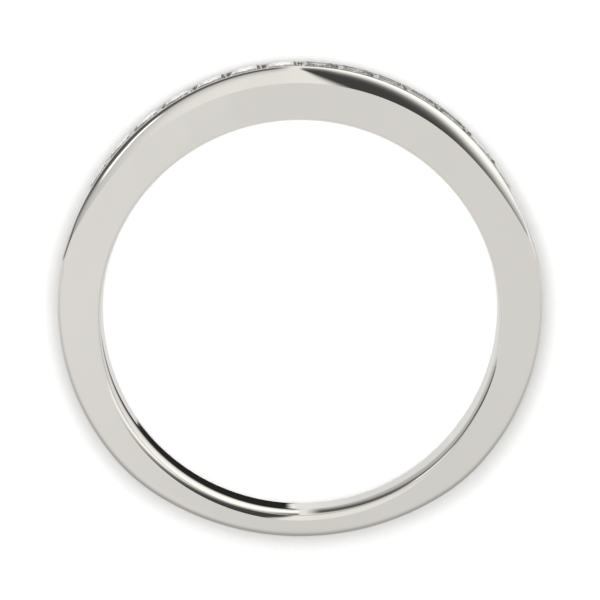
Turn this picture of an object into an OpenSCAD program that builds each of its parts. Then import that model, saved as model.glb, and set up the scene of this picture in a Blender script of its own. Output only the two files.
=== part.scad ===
// Channel set wedding band: a cast band that carries a single row of square stones.
// The band lies on its side: Z runs along the finger hole, Y points to the middle of the
// stones, and the origin is the centre of the finger hole, half way across the band.

/* [Finger hole] */
// Diameter of the finger hole
finger_hole_d = 17.3; // [15:0.1:20]
// How far the rounded edges of the finger hole reach along the wall and across the side
hole_edge = 0.35; // [0.2:0.05:0.5]

/* [Band] */
// Thickness from the hole to the rails, in the middle of the stones
top_thickness = 2.3; // [2.25:0.01:2.32]
// Thickness at the two sides, a quarter turn from the middle of the stones
side_thickness = 1.865; // [1.83:0.005:1.9]
// Thickness opposite the stones
bottom_thickness = 1.12; // [1:0.02:1.3]
// Width along the finger in the middle of the stones
top_width = 2.8; // [2.7:0.05:3.2]
// Width along the finger opposite the stones
bottom_width = 2.4; // [2.2:0.05:2.7]
// How far the centre of the shank's round outside lies above the centre of the hole
shank_rise = 0.445; // [0.43:0.005:0.48]
// Radius of the flatter outside opposite the stones
bottom_arc_r = 11.5; // [11.3:0.1:12]
// Radius of the two bends between that stretch and the round outside
bend_r = 8; // [7.5:0.1:8.5]
// How far the centre of the rails' round lies above the centre of the hole
row_rise = 0.62; // [0.58:0.01:0.66]
// Radius of the flatter flank between the rails and the shank on each side
flank_r = 12.3; // [12:0.1:12.6]
// Angle from the X axis where the rails' round turns into a flank
flank_angle = 36; // [34:1:38]

/* [Shoulders] */
// Distance from the hole to the edge line where a side face turns into a shoulder, at the top
shoulder_line = 1.65; // [1.55:0.01:1.7]
// How far the centre that the edge line turns about lies above the centre of the hole
shoulder_rise = 0.25; // [0.2:0.01:0.3]
// Angle at which a shoulder leaves the side face
shoulder_start_angle = 20; // [10:1:24]
// Flat land left on a rail between the shoulder and the lip
rail_land = 0.05; // [0.03:0.01:0.08]
// Radius of the stretches in which the edge line runs out to the outside
runout_r = 15; // [14:0.5:17]

/* [Stones] */
// Number of stones in the row
stone_count = 14; // [8:1:14]
// Side of a stone at its girdle
stone_w = 1.52; // [1.4:0.02:1.56]
// Gap between neighbouring girdles
stone_gap = 0.05; // [0.03:0.005:0.06]
// How far the tables stand above the rails
table_stands = 0.03; // [0.01:0.01:0.05]
// Side of a table as a share of the stone's side
table_share = 0.69; // [0.66:0.01:0.72]
// Slope of the crown next to the girdle
crown_angle = 42; // [40:1:44]
// Slope of the crown next to the table
star_angle = 32; // [30:1:34]
// Slope of the pavilion next to the girdle
pavilion_angle = 52; // [48:1:54]
// Slope of the pavilion next to the culet
culet_angle = 38; // [36:1:40]

/* [Channel] */
// How far each lip reaches over a crown
lip_overlap = 0.04; // [0.03:0.005:0.05]
// How far each seat reaches in under a girdle
seat_reach = 0.16; // [0.12:0.005:0.2]
// Clearance between a stone and the metal
seat_gap = 0.02; // [0.015:0.005:0.025]
// Depth of the channel's floor below the culets
floor_gap = 0.06; // [0.04:0.01:0.2]

/* [Hidden] */
$fn = 96;
// Cutters run past the surfaces that they cut by this much.
past = 1;

hole_r = finger_hole_d / 2;

// The shank's round outside.
top_r = hole_r + top_thickness;
side_r = hole_r + side_thickness;
round_r = norm([side_r, shank_rise]);

// The flatter stretch opposite the stones, and the bends that touch it and the round.
bottom_y = bottom_arc_r - hole_r - bottom_thickness;
to_round = round_r - bend_r;
to_bottom = bottom_arc_r - bend_r;
bend_y = (to_round * to_round - to_bottom * to_bottom + bottom_y * bottom_y - shank_rise * shank_rise)
    / (2 * (bottom_y - shank_rise));
bend_x = sqrt(to_round * to_round - (bend_y - shank_rise) * (bend_y - shank_rise));
round_end = atan2(bend_y - shank_rise, bend_x);
bend_end = atan2(bend_y - bottom_y, bend_x);

// The rails' round outside, and the flanks that touch its ends.
row_r = top_r - row_rise;
flank_x = (flank_r - row_r) * cos(flank_angle);
flank_y = row_rise - (flank_r - row_r) * sin(flank_angle);

// Where two rounds touch, the tighter one starts this much later and the flatter one
// reaches twice as much further, so that they overlap in one solid.
lap_angle = 1;

// The side faces are flat and lean towards each other at the thin end of the band.
band_length = 2 * hole_r + top_thickness + bottom_thickness;
side_lean = atan((top_width - bottom_width) / 2 / band_length);
half_width = top_width / 2 - top_r * tan(side_lean);

// A shoulder's section is an arc from the edge line on the side face to the rail's land.
shoulder_r = hole_r + shoulder_line - shoulder_rise;
lip_half = stone_w / 2 - lip_overlap;
land_half = lip_half + rail_land;
shoulder_in = top_thickness - shoulder_line;
shoulder_drop = top_width / 2 - land_half;
shoulder_arc_r = (shoulder_in * shoulder_in + shoulder_drop * shoulder_drop)
    / (2 * (shoulder_drop * cos(shoulder_start_angle) - shoulder_in * sin(shoulder_start_angle)));
shoulder_arc_x = -shoulder_arc_r * sin(shoulder_start_angle);
shoulder_arc_z = -shoulder_arc_r * cos(shoulder_start_angle);

// An edge of the finger hole is an arc that meets the wall and the side face at a slight angle.
edge_sink = 0.1;
edge_arc_r = norm([edge_sink, hole_edge + edge_sink]);

// Half widths of a stone, and the heights between them, outwards from its girdle. Halfway up
// the crown the slope eases at a star's point, and the pavilion eases at its step.
stone_r = stone_w / 2;
table_r = stone_r * table_share;
star_r = (stone_r + table_r) / 2;
step_r = 0.66 * stone_r;
ridge_r = 0.55 * stone_r;
girdle_half = 0.018;
star_h = (stone_r - star_r) * tan(crown_angle);
crown_h = star_h + (star_r - table_r) * tan(star_angle);
step_h = (stone_r - step_r) * tan(pavilion_angle);
pavilion_h = step_h + step_r * tan(culet_angle);
ridge_h = pavilion_h - ridge_r * tan(culet_angle);

// The row is laid out about the centre of the rails' round.
girdle_r = row_r + table_stands - crown_h - girdle_half;
stone_pitch = 2 * atan((stone_r + stone_gap / 2) / (girdle_r - girdle_half));
row_half = (stone_count - 1) / 2 * stone_pitch + atan((stone_r + seat_gap) / (girdle_r - girdle_half));

function stone_name(i) = str(i < 10 ? "stone_0" : "stone_", i);
function stone_angle(i) = 90 + ((stone_count + 1) / 2 - i) * stone_pitch;

// One stretch of the outside: a sector about the point (x, y) from angle a to angle b.
module outside_sector(x, y, r, a, b) {
    inner = hole_r - 3;
    translate([x, y, -top_width])
        rotate_extrude(angle = b - a, start = a)
            translate([inner, 0])
                square([r - inner, 2 * top_width]);
}

// The shank's outline, thicker than the band is wide.
module shank_block() {
    outside_sector(0, shank_rise, round_r, round_end - 2 * lap_angle, 180 - round_end + 2 * lap_angle);
    outside_sector(0, bottom_y, bottom_arc_r, 180 - bend_end - 2 * lap_angle, 360 + bend_end + 2 * lap_angle);
    for (side = [0, 1])
        mirror([side, 0, 0])
            outside_sector(bend_x, bend_y, bend_r, bend_end + lap_angle, round_end - lap_angle);
}

// What the rails and the flanks leave of that outline.
module row_block() {
    outside_sector(0, row_rise, row_r, flank_angle + lap_angle, 180 - flank_angle - lap_angle);
    for (side = [0, 1])
        mirror([side, 0, 0])
            outside_sector(-flank_x, flank_y, flank_r, -90, flank_angle + 2 * lap_angle);
}

// The space between the two leaning side faces.
module between_sides() {
    reach = top_r + past;
    wide = half_width + reach * tan(side_lean);
    narrow = half_width - reach * tan(side_lean);
    rotate([90, 0, 90])
        linear_extrude(2 * reach, center = true)
            polygon([[-reach, -narrow], [reach, -wide], [reach, wide], [-reach, narrow]]);
}

// Puts its children on each side face, with Z out of the face.
module on_each_side() {
    for (side = [0, 1])
        mirror([0, 0, side])
            translate([0, 0, half_width])
                rotate([side_lean, 0, 0])
                    children();
}

// What is cut away past a shoulder's arc, in a section measured from the edge line.
module shoulder_section() {
    difference() {
        translate([shoulder_arc_x, shoulder_arc_z])
            square([shoulder_in + past - shoulder_arc_x, past - shoulder_arc_z]);
        translate([shoulder_arc_x, shoulder_arc_z])
            circle(shoulder_arc_r);
    }
}

// One end of a shoulder, from the X axis towards -Y, where it runs out in a flatter curve.
module shoulder_runout() {
    runout_reach = 28;
    translate([shoulder_r - runout_r, 0, 0])
        rotate_extrude(angle = runout_reach, start = -runout_reach)
            translate([runout_r, 0])
                shoulder_section();
}

// A shoulder turns over the stones for a quarter of a circle, and runs out at both ends.
module shoulder_cutter() {
    translate([0, shoulder_rise, 0])
        rotate([0, 0, 45]) {
            rotate_extrude(angle = 90)
                translate([shoulder_r, 0])
                    shoulder_section();
            shoulder_runout();
            rotate([0, 0, 90])
                mirror([0, 1, 0])
                    shoulder_runout();
        }
}

// What is cut away past the rounded edge of the finger hole.
module hole_edge_cutter() {
    rotate_extrude()
        difference() {
            translate([hole_r - past, -hole_edge - edge_sink])
                square([past + hole_edge, hole_edge + edge_sink + past]);
            translate([hole_r + hole_edge + edge_sink, -hole_edge - edge_sink])
                circle(edge_arc_r);
        }
}

// The channel: a floor, a sloped seat under the girdles, a groove for them, and two lips.
module channel_cutter() {
    seat_half = stone_r - seat_reach;
    groove_half = stone_r + seat_gap;
    seat_drop = seat_gap / cos(pavilion_angle);
    // The corners of a flat stone stand further from the row's centre than its middle does.
    crown_lift = seat_gap / cos(crown_angle) + norm([girdle_r, stone_r]) - girdle_r;
    floor_r = girdle_r - girdle_half - pavilion_h - floor_gap;
    seat_in_r = girdle_r - girdle_half - seat_drop - seat_reach * tan(pavilion_angle);
    seat_out_r = girdle_r - girdle_half - seat_drop + seat_gap * tan(pavilion_angle);
    groove_r = girdle_r + girdle_half + crown_lift - seat_gap * tan(crown_angle);
    lip_r = girdle_r + girdle_half + crown_lift + lip_overlap * tan(crown_angle);
    open_r = row_r + past;
    wall = [
        [floor_r, seat_half],
        [seat_in_r, seat_half],
        [seat_out_r, groove_half],
        [groove_r, groove_half],
        [lip_r, lip_half],
        [open_r, lip_half]
    ];
    last = len(wall) - 1;
    translate([0, row_rise, 0])
        rotate_extrude(angle = 2 * row_half, start = 90 - row_half)
            polygon(concat(wall, [for (k = [0 : last]) [wall[last - k][0], -wall[last - k][1]]]));
}

// The cast band: shank, shoulders and both rails of the channel in one piece.
module band() {
    color([0.86, 0.85, 0.83])
        difference() {
            intersection() {
                shank_block();
                row_block();
                between_sides();
            }
            cylinder(h = 2 * top_width + past, r = hole_r, center = true);
            on_each_side() hole_edge_cutter();
            on_each_side() shoulder_cutter();
            channel_cutter();
        }
}

// Four points at height z: the corners of a square with half side r, or the middles of its sides.
function corners(r, z) = [for (k = [0 : 3]) [r * sqrt(2) * cos(90 * k + 45), r * sqrt(2) * sin(90 * k + 45), z]];
function middles(r, z) = [for (k = [0 : 3]) [r * cos(90 * k), r * sin(90 * k), z]];

// A square cut stone with its girdle about the origin and its table towards +Z. On each side
// the crown has a star, two corner facets and a lower facet, and the pavilion has a facet
// under the girdle, two chevrons and a kite down to the culet.
module square_cut() {
    points = concat(
        corners(table_r, girdle_half + crown_h),
        middles(star_r, girdle_half + star_h),
        corners(stone_r, girdle_half),
        corners(stone_r, -girdle_half),
        middles(step_r, -girdle_half - step_h),
        corners(ridge_r, -girdle_half - ridge_h),
        [[0, 0, -girdle_half - pavilion_h]]
    );
    table = 0;
    star = 4;
    upper = 8;
    lower = 12;
    step = 16;
    ridge = 20;
    culet = 24;
    // Side k lies between corner a and corner b.
    function side_faces(k, a, b) = [
        [table + a, table + b, star + k],
        [table + b, upper + b, star + k],
        [table + a, star + k, upper + a],
        [star + k, upper + b, upper + a],
        [upper + a, upper + b, lower + b, lower + a],
        [lower + a, lower + b, step + k],
        [lower + b, ridge + b, step + k],
        [lower + a, step + k, ridge + a],
        [step + k, ridge + b, culet, ridge + a]
    ];
    faces = concat([[3, 2, 1, 0]], [for (k = [0 : 3]) each side_faces(k, (k + 3) % 4, k)]);
    polyhedron(points = points, faces = faces);
}

// Stone i of the row, set across the outside with its table outwards.
module stone(i) {
    color([0.93, 0.96, 0.98, 0.6])
        translate([0, row_rise, 0])
            rotate([0, 0, stone_angle(i)])
                translate([girdle_r, 0, 0])
                    rotate([0, 90, 0])
                        square_cut();
}

band();
for (i = [1 : stone_count])
    stone(i);
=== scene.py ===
import bpy
import bmesh
from math import asin, atan, atan2, cos, hypot, pi, radians, sin, sqrt, tan
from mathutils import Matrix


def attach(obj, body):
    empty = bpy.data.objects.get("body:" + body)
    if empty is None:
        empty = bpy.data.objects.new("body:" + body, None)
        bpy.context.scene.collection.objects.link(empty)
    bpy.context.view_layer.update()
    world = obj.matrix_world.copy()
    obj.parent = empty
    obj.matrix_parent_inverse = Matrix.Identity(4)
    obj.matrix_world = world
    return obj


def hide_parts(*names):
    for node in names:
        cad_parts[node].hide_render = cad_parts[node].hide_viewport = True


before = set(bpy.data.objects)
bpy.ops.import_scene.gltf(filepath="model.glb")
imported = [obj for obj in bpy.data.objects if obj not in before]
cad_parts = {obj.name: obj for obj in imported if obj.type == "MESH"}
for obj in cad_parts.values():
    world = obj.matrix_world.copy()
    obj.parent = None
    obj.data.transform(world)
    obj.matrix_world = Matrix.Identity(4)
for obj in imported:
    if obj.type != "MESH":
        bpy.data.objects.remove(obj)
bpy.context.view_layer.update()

# The camera looks at one side face from a little above the middle of the ring, and stands far
# enough off that the ring looks round. Sizes in this script are in millimetres.
mm = 0.001
view_distance = 224.4
view_rise = radians(10.48)
aim_above_middle = 0.547
pixels_per_mm = 22.906
picture_pixels = 600
sensor_width = 36
nearest = 10
farthest = 20000
camera = bpy.data.objects.new("camera", bpy.data.cameras.new("camera"))
bpy.context.scene.collection.objects.link(camera)
camera.location = (0, view_distance * sin(view_rise) * mm, view_distance * cos(view_rise) * mm)
camera.rotation_euler.x = atan(aim_above_middle / view_distance) - view_rise
camera.data.sensor_width = sensor_width
camera.data.lens = sensor_width * pixels_per_mm * view_distance / picture_pixels
camera.data.clip_start = nearest * mm
camera.data.clip_end = farthest * mm
bpy.context.scene.camera = camera

# The band is one casting in 14 carat white gold: a shank that tapers away from the stones,
# two bevelled shoulders, and the two rails of the channel. It is filed, sanded and polished.
hole_r = 8.65
top_thickness = 2.3
side_thickness = 1.865
bottom_thickness = 1.12
top_width = 2.8
bottom_width = 2.4
band_length = 2 * hole_r + top_thickness + bottom_thickness
side_slope = (top_width - bottom_width) / 2 / band_length
half_width = top_width / 2 - (hole_r + top_thickness) * side_slope

# The outside is a chain of rounds, the same on both sides. The shank has a round, two bends and
# a flatter stretch opposite the stones. The rails have their own round, with a flatter flank on
# each side, and cut across the shank's.
shank_rise = 0.445
bottom_arc_r = 11.5
bend_r = 8
row_rise = 0.62
flank_r = 12.3
flank_angle = radians(36)
row_r = hole_r + top_thickness - row_rise
round_r = hypot(hole_r + side_thickness, shank_rise)
bottom_y = bottom_arc_r - hole_r - bottom_thickness
to_round = round_r - bend_r
to_bottom = bottom_arc_r - bend_r
centres_apart = bottom_y - shank_rise
bend_y = (to_round ** 2 - to_bottom ** 2 + bottom_y ** 2 - shank_rise ** 2) / 2 / centres_apart
bend_x = sqrt(to_round ** 2 - (bend_y - shank_rise) ** 2)
round_end = atan2(bend_y - shank_rise, bend_x)
bend_end = atan2(bend_y - bottom_y, bend_x)
flank_x = (flank_r - row_r) * cos(flank_angle)
flank_y = row_rise - (flank_r - row_r) * sin(flank_angle)


def radius_on(turn, centre_x, centre_y, r):
    """How far out a circle is from the middle of the hole, in the direction turn."""
    along = centre_x * cos(turn) + centre_y * sin(turn)
    return along + sqrt(along ** 2 - centre_x ** 2 - centre_y ** 2 + r ** 2)


def outside_radius(turn):
    """How far out the band reaches in a direction on its right half."""
    out = radius_on(turn, 0, shank_rise, round_r)
    if turn < 0:
        x, y = out * cos(turn), out * sin(turn)
        if atan2(y - shank_rise, x) < round_end:
            out = radius_on(turn, bend_x, bend_y, bend_r)
            x, y = out * cos(turn), out * sin(turn)
            if atan2(y - bend_y, x - bend_x) < bend_end:
                out = radius_on(turn, 0, bottom_y, bottom_arc_r)
    rails = radius_on(turn, 0, row_rise, row_r)
    if atan2(rails * sin(turn) - row_rise, rails * cos(turn)) < flank_angle:
        rails = radius_on(turn, -flank_x, flank_y, flank_r)
    return min(out, rails)


# A shoulder starts at an edge line on the side face and falls in an arc to the rail. The edge
# line follows a circle over the stones and runs out in a flatter curve on each side.
stone_r = 0.76
lip_overlap = 0.04
lip_half = stone_r - lip_overlap
rail_land = 0.05
land_half = lip_half + rail_land
shoulder_line = 1.65
shoulder_rise = 0.25
shoulder_start = radians(20)
shoulder_r = hole_r + shoulder_line - shoulder_rise
shoulder_in = top_thickness - shoulder_line
shoulder_drop = top_width / 2 - land_half
fall_r = (shoulder_in ** 2 + shoulder_drop ** 2) / 2 / (
    shoulder_drop * cos(shoulder_start) - shoulder_in * sin(shoulder_start))
runout_r = 15
runout_angle = radians(45)
runout_x = (shoulder_r - runout_r) * cos(runout_angle)
runout_y = shoulder_rise + (shoulder_r - runout_r) * sin(runout_angle)


def shoulder_circle(turn):
    """The circle that the edge line follows in the direction turn, as its centre and radius."""
    edge = radius_on(turn, 0, shoulder_rise, shoulder_r)
    if atan2(edge * sin(turn) - shoulder_rise, edge * cos(turn)) > runout_angle:
        return 0, shoulder_rise, shoulder_r
    return runout_x, runout_y, runout_r


def way_to_rim(turn):
    """How far the outside lies along the shoulder from the edge line, below 0 past its runout."""
    out = outside_radius(turn)
    x, y, line_r = shoulder_circle(turn)
    reach = hypot(out * cos(turn) - x, out * sin(turn) - y) - line_r
    if reach <= 0:
        return reach
    return fall_r * (asin(reach / fall_r + sin(shoulder_start)) - shoulder_start)


def face_z(turn, r):
    """How high the side face stands over the middle of the band."""
    return half_width + r * sin(turn) * side_slope


def on_shoulder(turn, way):
    """Radius and height of the place that lies a way along the shoulder from the edge line."""
    outward, down = way, 0
    if way > 0:
        slope = shoulder_start + way / fall_r
        outward = fall_r * (sin(slope) - sin(shoulder_start))
        down = fall_r * (cos(slope) - cos(shoulder_start))
    x, y, line_r = shoulder_circle(turn)
    r = radius_on(turn, x, y, line_r + outward)
    return r, face_z(turn, r) + down


def smooth_step(share):
    """Go smoothly from 0 to 1 as share does."""
    share = min(1, max(0, share))
    return share ** 2 * (3 - 2 * share)


# The outer corner is broken along the rails and rounded more where no shoulder is, and it is
# softened further where the shoulders run out. Its sizes go inwards and down from the rim.
rail_corner = (0.06, 0.045)
shank_corner = (0.33, 0.05)
runout_corner = 0.1
corner_change = 0.3


def corner_size(rim):
    """How far the rounded corner reaches in and down, by the way from the edge line to the rim."""
    bare = smooth_step(-rim / corner_change)
    more = runout_corner * max(0, 1 - (rim / corner_change) ** 2) ** 2
    return (rail + (shank - rail) * bare + more for rail, shank in zip(rail_corner, shank_corner))


# The edge of the finger hole is rounded in two arcs, a soft one that leaves the wall and one
# that ends in a crisp line on the side face. Slopes are measured from that face. The rounding
# is widest at the lower left and smallest under the stones.
edge_reach = 0.38
edge_r = 0.5
wall_slope = radians(80)
meeting_slope = radians(62)
crisp_slope = radians(24)
edge_x = hole_r + edge_reach + edge_r * sin(crisp_slope)
edge_z = -edge_r * cos(crisp_slope)
soft_r = (edge_x - edge_r * sin(meeting_slope) - hole_r) / (sin(wall_slope) - sin(meeting_slope))
soft_x = edge_x + (soft_r - edge_r) * sin(meeting_slope)
soft_z = edge_z - (soft_r - edge_r) * cos(meeting_slope)
least_edge = 0.42
widest_past_bottom = radians(15)
least_edge_until = 0.25
widest_edge_from = 0.85


def edge_size(turn):
    """The size of the rounding in the direction turn, against where it is widest."""
    lower = -sin(turn + widest_past_bottom)
    growth = smooth_step((lower - least_edge_until) / (widest_edge_from - least_edge_until))
    return least_edge + (1 - least_edge) * growth


# Half of the band's section, as the number of steps along each stretch of it. Where a shoulder
# runs out, its steps stay in a narrow strip of the side face.
steps = {"wall": 3, "soft": 5, "edge": 6, "side": 5, "shoulder": 16, "corner": 9, "land": 2, "mouth": 3}
half_steps = sum(steps.values())
least_shoulder = 0.06
least_land = 0.004


def shares(stretch):
    """How far along a stretch each of its steps ends."""
    return [(k + 1) / steps[stretch] for k in range(steps[stretch])]


def half_section(turn):
    """Half of the section in the direction turn, from the wall to the middle of the outside."""
    edge = edge_size(turn)
    turn = asin(sin(turn))
    wall_end = face_z(turn, hole_r) + edge * (soft_z + soft_r * cos(wall_slope))
    points = [(hole_r, wall_end * share) for share in [0] + shares("wall")]
    for stretch, arc_r, arc_x, arc_z, first, last in (
            ("soft", soft_r, soft_x, soft_z, wall_slope, meeting_slope),
            ("edge", edge_r, edge_x, edge_z, meeting_slope, crisp_slope)):
        for share in shares(stretch):
            slope = first + (last - first) * share
            r = hole_r + edge * (arc_x - arc_r * sin(slope) - hole_r)
            points.append((r, face_z(turn, r) + edge * (arc_z + arc_r * cos(slope))))
    rim = way_to_rim(turn)
    corner_in, corner_down = corner_size(rim)
    corner = rim - corner_in
    crease = min(0, corner - least_shoulder)
    first_r = hole_r + edge * edge_reach
    last_r = on_shoulder(turn, crease)[0]
    for share in shares("side"):
        r = first_r + (last_r - first_r) * share
        points.append((r, face_z(turn, r)))
    points += [on_shoulder(turn, crease + (corner - crease) * share) for share in shares("shoulder")]
    out = outside_radius(turn)
    start_r, start_z = on_shoulder(turn, corner)
    tip_r, tip_z = on_shoulder(turn, rim)
    top = tip_z - corner_down
    for share in shares("corner"):
        start, tip, end = (1 - share) ** 2, 2 * share * (1 - share), share ** 2
        r = start * start_r + tip * tip_r + end * out
        points.append((r, start * start_z + tip * tip_z + end * top))
    lip = min(lip_half, top - least_land)
    points += [(out, top + (lip - top) * share) for share in shares("land")]
    points += [(out, lip * (1 - share)) for share in shares("mouth")]
    return points


# A loop of points is spun round the hole, and each point then goes to its place in the section.
# The second half of the loop makes the lower half of the band.
round_steps = 720
bm = bmesh.new()
place = bm.verts.layers.int.new("place")
loop = []
for k in range(2 * half_steps):
    vert = bm.verts.new((hole_r + 1 - cos(pi * k / half_steps), 0, sin(pi * k / half_steps)))
    vert[place] = k
    loop.append(vert)
edges = [bm.edges.new((loop[k - 1], loop[k])) for k in range(len(loop))]
bmesh.ops.spin(bm, geom=loop + edges, cent=(0, 0, 0), axis=(0, 0, 1), angle=2 * pi,
               steps=round_steps, use_merge=True)
sections = [half_section(2 * pi * k / round_steps) for k in range(round_steps)]
for vert in bm.verts:
    turn = atan2(vert.co.y, vert.co.x)
    section = sections[round(turn / 2 / pi * round_steps) % round_steps]
    k = vert[place]
    r, z = section[min(k, 2 * half_steps - k)]
    if k > half_steps:
        z = -z
    vert.co = (r * cos(turn) * mm, r * sin(turn) * mm, z * mm)
bmesh.ops.recalc_face_normals(bm, faces=bm.faces)

# The channel is milled between the rails: a mouth between two lips, a groove on each side for
# the girdles, the slanted seats that the stones lie on, and the floor. All of it follows from
# the stones, which are cut square, with two slopes on the crown and two on the pavilion.
stone_count = 14
stone_gap = 0.05
table_stands = 0.03
table_share = 0.69
step_share = 0.66
table_r = stone_r * table_share
star_r = (stone_r + table_r) / 2
step_r = stone_r * step_share
girdle_half = 0.018
crown_slope = tan(radians(42))
star_slope = tan(radians(32))
pavilion_slope = tan(radians(52))
culet_slope = tan(radians(38))
crown_h = (stone_r - star_r) * crown_slope + (star_r - table_r) * star_slope
pavilion_h = (stone_r - step_r) * pavilion_slope + step_r * culet_slope
girdle_r = row_r + table_stands - crown_h - girdle_half
below_r = girdle_r - girdle_half
seat_gap = 0.02
seat_reach = 0.16
floor_gap = 0.06
seat_drop = seat_gap * hypot(1, pavilion_slope)
crown_lift = seat_gap * hypot(1, crown_slope) + hypot(girdle_r, stone_r) - girdle_r
above_r = girdle_r + girdle_half + crown_lift
stone_pitch = 2 * atan((stone_r + stone_gap / 2) / below_r)
row_half = (stone_count - 1) / 2 * stone_pitch + atan((stone_r + seat_gap) / below_r)

# Each stretch of a channel wall below the mouth, as the radius and half width where it ends.
channel_wall = (
    (above_r + lip_overlap * crown_slope, lip_half),
    (above_r - seat_gap * crown_slope, stone_r + seat_gap),
    (below_r - seat_drop + seat_gap * pavilion_slope, stone_r + seat_gap),
    (below_r - seat_drop - seat_reach * pavilion_slope, stone_r - seat_reach),
    (below_r - pavilion_h - floor_gap, stone_r - seat_reach),
)
mouth_first = half_steps - steps["mouth"]
mouth_last = half_steps + steps["mouth"]


def over_row(vert):
    """True where a point of the outside lies between the two lips, along the row."""
    turn = atan2(vert.co.x, vert.co.y - row_rise * mm)
    return mouth_first <= vert[place] <= mouth_last and abs(turn) < row_half + pi / round_steps


mouth = [face for face in bm.faces if all(over_row(vert) for vert in face.verts)]
mouth_rim = [edge for face in mouth for edge in face.edges
             if sum(other in mouth for other in edge.link_faces) == 1]
for depth_r, half in channel_wall:
    around = {item for face in mouth for item in (*face.edges, *face.verts)}
    deeper = bmesh.ops.extrude_face_region(bm, geom=mouth + list(around))["geom"]
    mouth = [item for item in deeper if isinstance(item, bmesh.types.BMFace)]
    widest = max(abs(vert.co.z) for face in mouth for vert in face.verts)
    for vert in {vert for face in mouth for vert in face.verts}:
        turn = atan2(vert.co.x, vert.co.y - row_rise * mm)
        vert.co = (depth_r * sin(turn) * mm, (row_rise + depth_r * cos(turn)) * mm,
                   vert.co.z / widest * half * mm)
lip_rounding = 0.015
bmesh.ops.bevel(bm, geom=mouth_rim, offset=lip_rounding * mm, segments=2, profile=0.5,
                affect="EDGES", material=-1)
bmesh.ops.recalc_face_normals(bm, faces=bm.faces)
mesh = bpy.data.meshes.new("white_gold_band")
bm.to_mesh(mesh)
bm.free()

# Lines where the metal turns by more than this are crisp. The side faces also end in a crisp
# line all round, so that they stay flat where the shoulders run out.
crisp_angle = radians(18)
mesh.shade_smooth()
mesh.set_sharp_from_angle(angle=crisp_angle)
face_end = steps["wall"] + steps["soft"] + steps["edge"] + steps["side"]
places = mesh.attributes["place"].data
for edge in mesh.edges:
    first, last = (places[end].value for end in edge.vertices)
    if first == last and first in (face_end, 2 * half_steps - face_end):
        edge.use_edge_sharp = True
band = bpy.data.objects.new("white_gold_band", mesh)
bpy.context.scene.collection.objects.link(band)


def wire(links, socket, value):
    """Set a socket to a value, or to what another node gives."""
    if isinstance(value, bpy.types.NodeSocket):
        links.new(value, socket)
    else:
        socket.default_value = value


def grain(material, place, size, detail=2):
    """A cloudy pattern from 0 to 1, whose spots are about size across."""
    noise = material.node_tree.nodes.new("ShaderNodeTexNoise")
    noise.inputs["Scale"].default_value = 1 / (size * mm)
    noise.inputs["Detail"].default_value = detail
    material.node_tree.links.new(place, noise.inputs["Vector"])
    return noise.outputs["Fac"]


def spread(material, pattern, first, last):
    """Turn a pattern into numbers or colours between first and last."""
    nodes = material.node_tree.nodes
    if isinstance(first, tuple):
        node = nodes.new("ShaderNodeMix")
        node.data_type = "RGBA"
        inlets, outlet = (node.inputs[0], node.inputs[6], node.inputs[7]), node.outputs[2]
    else:
        node = nodes.new("ShaderNodeMapRange")
        inlets, outlet = (node.inputs[0], node.inputs[3], node.inputs[4]), node.outputs[0]
    for socket, value in zip(inlets, (pattern, first, last)):
        wire(material.node_tree.links, socket, value)
    return outlet


def dent(material, pattern, depth, under=None):
    """A bump as deep as depth, made by a pattern, over the bump under it."""
    bump = material.node_tree.nodes.new("ShaderNodeBump")
    bump.inputs["Distance"].default_value = depth * mm
    wire(material.node_tree.links, bump.inputs["Height"], pattern)
    if under:
        material.node_tree.links.new(under, bump.inputs["Normal"])
    return bump.outputs["Normal"]


# The polish keeps faint waves from the hand, spots from handling, and hair lines that run round
# the ring, whose pattern therefore changes only outwards and along the hole.
gold_shades = ((0.86, 0.835, 0.785, 1), (0.89, 0.865, 0.815, 1))
gold_roughness = (0.02, 0.07)
wave_size = 3.5
wave_depth = 0.012
hair_line_size = 0.12
hair_line_depth = 0.00006
spot_size = 0.9
gold = bpy.data.materials.new("polished white gold")
gold.use_nodes = True
nodes = gold.node_tree.nodes
links = gold.node_tree.links
on_band = nodes.new("ShaderNodeTexCoord").outputs["Object"]
apart = nodes.new("ShaderNodeSeparateXYZ")
links.new(on_band, apart.inputs[0])
flat = nodes.new("ShaderNodeCombineXYZ")
links.new(apart.outputs["X"], flat.inputs["X"])
links.new(apart.outputs["Y"], flat.inputs["Y"])
outwards = nodes.new("ShaderNodeVectorMath")
outwards.operation = "LENGTH"
links.new(flat.outputs[0], outwards.inputs[0])
across_lines = nodes.new("ShaderNodeCombineXYZ")
links.new(outwards.outputs["Value"], across_lines.inputs["X"])
links.new(apart.outputs["Z"], across_lines.inputs["Z"])
waves = grain(gold, on_band, wave_size)
hair_lines = grain(gold, across_lines.outputs[0], hair_line_size, detail=6)
spots = grain(gold, on_band, spot_size, detail=5)
wavy = dent(gold, waves, wave_depth)
shader = nodes["Principled BSDF"]
shader.inputs["Metallic"].default_value = 1
wire(links, shader.inputs["Base Color"], spread(gold, waves, *gold_shades))
wire(links, shader.inputs["Roughness"], spread(gold, spots, *gold_roughness))
wire(links, shader.inputs["Normal"], dent(gold, hair_lines, hair_line_depth, wavy))
mesh.materials.append(gold)
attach(band, "root")
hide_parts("band")

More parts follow.
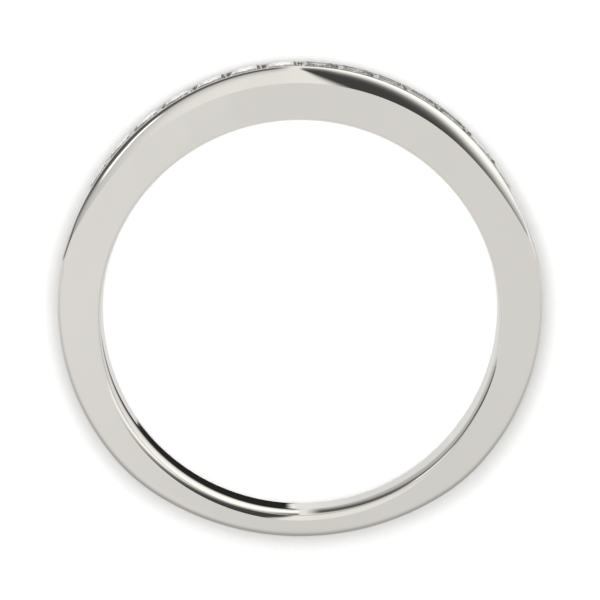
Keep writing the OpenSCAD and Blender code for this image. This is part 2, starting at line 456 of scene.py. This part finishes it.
# Fourteen square cut diamonds stand side by side in the channel, held by its lips, with their
# tables just above the rails. Every facet is cut flat and polished. They are clear, and a faint
# painted glow, white light that the stones give off themselves, stands in for the light that
# keeps turning inside them.
diamond_refraction = 2.417
diamond_tints = ((0.98, 0.99, 1, 1), (1, 1, 0.985, 1))
tint_size = 0.8
diamond_roughness = (0, 0.02)
smear_size = 0.05
painted_glow = 0.045
diamond = bpy.data.materials.new("clear diamond")
diamond.use_nodes = True
links = diamond.node_tree.links
on_stones = diamond.node_tree.nodes.new("ShaderNodeTexCoord").outputs["Object"]
tints = grain(diamond, on_stones, tint_size)
smears = grain(diamond, on_stones, smear_size, detail=4)
shader = diamond.node_tree.nodes["Principled BSDF"]
shader.inputs["IOR"].default_value = diamond_refraction
shader.inputs["Transmission Weight"].default_value = 1
# The stones' own white emission is a painted glow, not a lamp.
shader.inputs["Emission Color"].default_value = (1, 1, 1, 1)
shader.inputs["Emission Strength"].default_value = painted_glow
wire(links, shader.inputs["Base Color"], spread(diamond, tints, *diamond_tints))
wire(links, shader.inputs["Roughness"], spread(diamond, smears, *diamond_roughness))
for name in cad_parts:
    if name.startswith("stone"):
        stone = bpy.data.objects[name]
        stone.data.materials.clear()
        stone.data.materials.append(diamond)

# The table is a plain sheet of white paper under the side face that the ring lies on, so it
# leans as that face does. The metal doesn't reflect it.
table_half = 3000
table_z = -half_width
paper_shades = ((0.78, 0.78, 0.78, 1), (0.82, 0.82, 0.82, 1))
paper_roughness = 0.9
fibre_size = 0.3
fibre_depth = 0.01
bm = bmesh.new()
bmesh.ops.create_grid(bm, x_segments=1, y_segments=1, size=table_half * mm)
for vert in bm.verts:
    vert.co.z = table_z * mm - vert.co.y * side_slope
mesh = bpy.data.meshes.new("table")
bm.to_mesh(mesh)
bm.free()
table = bpy.data.objects.new("table", mesh)
bpy.context.scene.collection.objects.link(table)
table.visible_glossy = False
paper = bpy.data.materials.new("white paper")
paper.use_nodes = True
links = paper.node_tree.links
on_table = paper.node_tree.nodes.new("ShaderNodeTexCoord").outputs["Object"]
fibres = grain(paper, on_table, fibre_size, detail=6)
shader = paper.node_tree.nodes["Principled BSDF"]
shader.inputs["Roughness"].default_value = paper_roughness
shader.inputs["Specular IOR Level"].default_value = 0
wire(links, shader.inputs["Base Color"], spread(paper, fibres, *paper_shades))
wire(links, shader.inputs["Normal"], dent(paper, fibres, fibre_depth))
mesh.materials.append(paper)

# The studio is a pale tent over and under the table. On its right a large black card hangs
# before a bright box, and on its left are a dark gap and a bright slot.
world = bpy.data.worlds.new("studio")
bpy.context.scene.world = world
world.use_nodes = True
nodes = world.node_tree.nodes
links = world.node_tree.links


def reckon(kind, a, b=0, c=0):
    """The result of a kind of sum on up to three numbers."""
    node = nodes.new("ShaderNodeMath")
    node.operation = kind
    for inlet, number in enumerate((a, b, c)):
        wire(links, node.inputs[inlet], number)
    return node.outputs[0]


def ease(value, low, high, first=0, last=1):
    """A smooth step from first to last, while value goes from low to high."""
    node = nodes.new("ShaderNodeMapRange")
    node.interpolation_type = "SMOOTHSTEP"
    for inlet, number in enumerate((value, low, high, first, last)):
        wire(links, node.inputs[inlet], number)
    return node.outputs[0]


def blend(share, first, last):
    """A mix of two brightnesses, all last where share is 1."""
    node = nodes.new("ShaderNodeMix")
    node.data_type = "FLOAT"
    for inlet, number in zip((0, 2, 3), (share, first, last)):
        wire(links, node.inputs[inlet], number)
    return node.outputs[0]


def nearness(direction):
    """How nearly a place in the tent lies in a direction, from -1 to 1."""
    node = nodes.new("ShaderNodeVectorMath")
    node.operation = "DOT_PRODUCT"
    links.new(look, node.inputs[0])
    node.inputs[1].default_value = direction
    return node.outputs["Value"]


def fade(value, points):
    """A smooth run of brightness through points, each a value and its brightness."""
    node = nodes.new("ShaderNodeFloatCurve")
    curve = node.mapping.curves[0]
    curve.points[0].location = points[0]
    curve.points[1].location = points[-1]
    for point in points[1:-1]:
        curve.points.new(*point)
    for point in curve.points:
        point.handle_type = "AUTO_CLAMPED"
    node.mapping.update()
    wire(links, node.inputs[1], value)
    return node.outputs[0]


# A place in the tent has x to the right, y to the side of the stones and z up from the table.
# It is also given in degrees from straight above, and in degrees round the tent from the right.
look = nodes.new("ShaderNodeTexCoord").outputs["Generated"]
split = nodes.new("ShaderNodeSeparateXYZ")
links.new(look, split.inputs[0])
x, y, z = split.outputs
from_above = reckon("DEGREES", reckon("ARCCOSINE", z))
round_tent = reckon("DEGREES", reckon("ARCTAN2", y, x))

# All edges are soft, so each is a pair of places between which the light changes. To the right
# of the seam hangs the black card, darker beside the seam, and further right is the bright box.
card_direction = (-0.4455, 0.568, 0.693)
card_shades = [(0, 0.8), (0.3, 0.85), (0.48, 1), (0.53, 1), (0.574, 0.84), (0.628, 0.577),
               (0.68, 0.29), (0.725, 0.127), (0.8, 0.05), (1, 0.045)]
card_edge = (0.55, 0.625)
beside_seam = (0.06, 0.2)
darker_by = 0.05
box_turn = (5, 45)
box_light = (0.96, 1.2)
card = reckon("MULTIPLY_ADD", nearness(card_direction), 0.5, 0.5)
darker = reckon("MULTIPLY", ease(x, *beside_seam, darker_by, 0), ease(card, *card_edge))
right = fade(reckon("ADD", card, darker), card_shades)
right = reckon("MULTIPLY", right, ease(round_tent, *box_turn, *box_light))

# To the left of the seam the tent is pale, and then come the narrow bright slot and the gap.
gap_direction = (0.132, 0.785, 0.606)
gap_shades = [(0, 0.42), (0.08, 0.4), (0.16, 0.24), (0.25, 0.14), (0.35, 0.085), (0.4, 0.085),
              (0.455, 0.17), (0.5, 0.36), (0.55, 0.5), (0.65, 0.6), (0.8, 0.73), (1, 0.76)]
gap_light = 1.15
gap_turn = (125, 150)
gap_drift = 0.04
pale_turn = (98, 91)
pale_light = 0.9
slot_lower_edge = (0.483, 0.5)
slot_upper_edge = (0.567, 0.55)
slot_start = (129, 135)
slot_end = (155, 148)
slot_light = 1.5
gap = reckon("ADD", nearness(gap_direction), ease(round_tent, *gap_turn, 0, gap_drift))
left = reckon("MULTIPLY", fade(gap, gap_shades), gap_light)
left = blend(ease(round_tent, *pale_turn), left, pale_light)
slot = reckon("MULTIPLY", ease(gap, *slot_lower_edge), ease(gap, *slot_upper_edge))
slot_ends = reckon("MULTIPLY", ease(round_tent, *slot_start), ease(round_tent, *slot_end))
left = blend(reckon("MULTIPLY", slot, slot_ends), left, slot_light)

# Left and right meet in a seam, which is sharp low down and softer and further right higher up.
seam_foot = 0.03
seam_lean = 0.122
lean_from = -0.2
seam_width = 0.013
seam_widening = 0.05
seam = reckon("MULTIPLY_ADD", reckon("MAXIMUM", z, lean_from), -seam_lean, x)
seam = reckon("SUBTRACT", seam, seam_foot)
seam = reckon("DIVIDE", seam, reckon("MULTIPLY_ADD", reckon("MAXIMUM", z, 0), seam_widening, seam_width))
both = blend(ease(seam, -1, 1), left, right)

# Both end where the tent turns away from the side of the stones, and short of straight above.
side_edge = (-0.04, 0.06)
side_lift = 0.07
side_lifts = (0.2, 0.6)
side_top = (14, 32)
lift = ease(x, *side_lifts, 0, side_lift)
stones_side = ease(reckon("SUBTRACT", y, lift), *side_edge)
stones_side = reckon("MULTIPLY", stones_side, ease(from_above, *side_top))

# Opposite the stones the tent is even, but for a darker patch high up.
tent_light = 0.75
patch_light = 0.4
patch_top = (11, 30)
patch_foot = (58, 48)
patch_middle = -90
patch_end = (90, 20)
patch = reckon("MULTIPLY", ease(from_above, *patch_top), ease(from_above, *patch_foot))
off_middle = reckon("ABSOLUTE", reckon("SUBTRACT", round_tent, patch_middle))
patch = reckon("MULTIPLY", patch, ease(off_middle, *patch_end))
light = blend(stones_side, blend(patch, tent_light, patch_light), both)

# Straight above, the tent is a little brighter on the left and towards the stones' side.
left_above = 0.785
middle_above = 0.718
right_above = 0.733
above_reach = 0.045
above_slope = 0.36
above_from = -0.2
above_edge = (24, 15)
above = reckon("ADD", ease(x, -above_reach, 0, left_above, middle_above),
               ease(x, 0, above_reach, 0, right_above - middle_above))
above = reckon("MULTIPLY_ADD", reckon("SUBTRACT", y, above_from), above_slope, above)
light = blend(ease(from_above, *above_edge), light, above)

# Under the table, where only reflections reach, the tent is pale on the left, and a black
# hanging covers its right.
under_top = (145, 158)
under_start = (84, 90)
under_turn = (90, 125)
under_light = (0.84, 0.74)
hanging_top = (127, 149)
hanging_start = (-13, -11)
hanging_end = (91.5, 87)
hanging_lean = 5
hanging_leans = (150, 165)
hanging_light = 0.02
under = reckon("MULTIPLY", ease(from_above, *under_top), ease(round_tent, *under_start))
light = blend(under, light, ease(round_tent, *under_turn, *under_light))
hanging = reckon("MULTIPLY", ease(from_above, *hanging_top), ease(round_tent, *hanging_start))
leaning = reckon("ADD", round_tent, ease(from_above, *hanging_leans, 0, hanging_lean))
hanging = reckon("MULTIPLY", hanging, ease(leaning, *hanging_end))
light = blend(hanging, light, hanging_light)

# What shines through the stones is brightest on the left, and never quite dark.
left_through_stones = 1.8
least_through_stones = 0.3
through_edge = (-0.1, 0.45)
through = reckon("MAXIMUM", light, least_through_stones)
through = blend(ease(x, *through_edge), left_through_stones, through)
ray = nodes.new("ShaderNodeLightPath")
light = blend(ray.outputs["Is Transmission Ray"], light, through)
links.new(light, nodes["Background"].inputs["Color"])

# Two lamps light the table alone. The high one lights all of it, and the low one hangs over the
# stones and lays a soft shadow on the side opposite them. Power is in watts.
for name, middle, width, power in (("high lamp", (0, 60, 600), 400, 1.6),
                                   ("low lamp", (0, 10, 35), 25, 0.012)):
    lamp = bpy.data.objects.new(name, bpy.data.lights.new(name, "AREA"))
    bpy.context.scene.collection.objects.link(lamp)
    lamp.data.size = width * mm
    lamp.data.energy = power
    lamp.location = [along * mm for along in middle]
    lamp.visible_camera = False
    lamp.visible_glossy = False
    lamp.visible_transmission = False
bpy.context.scene.view_settings.view_transform = "Standard"
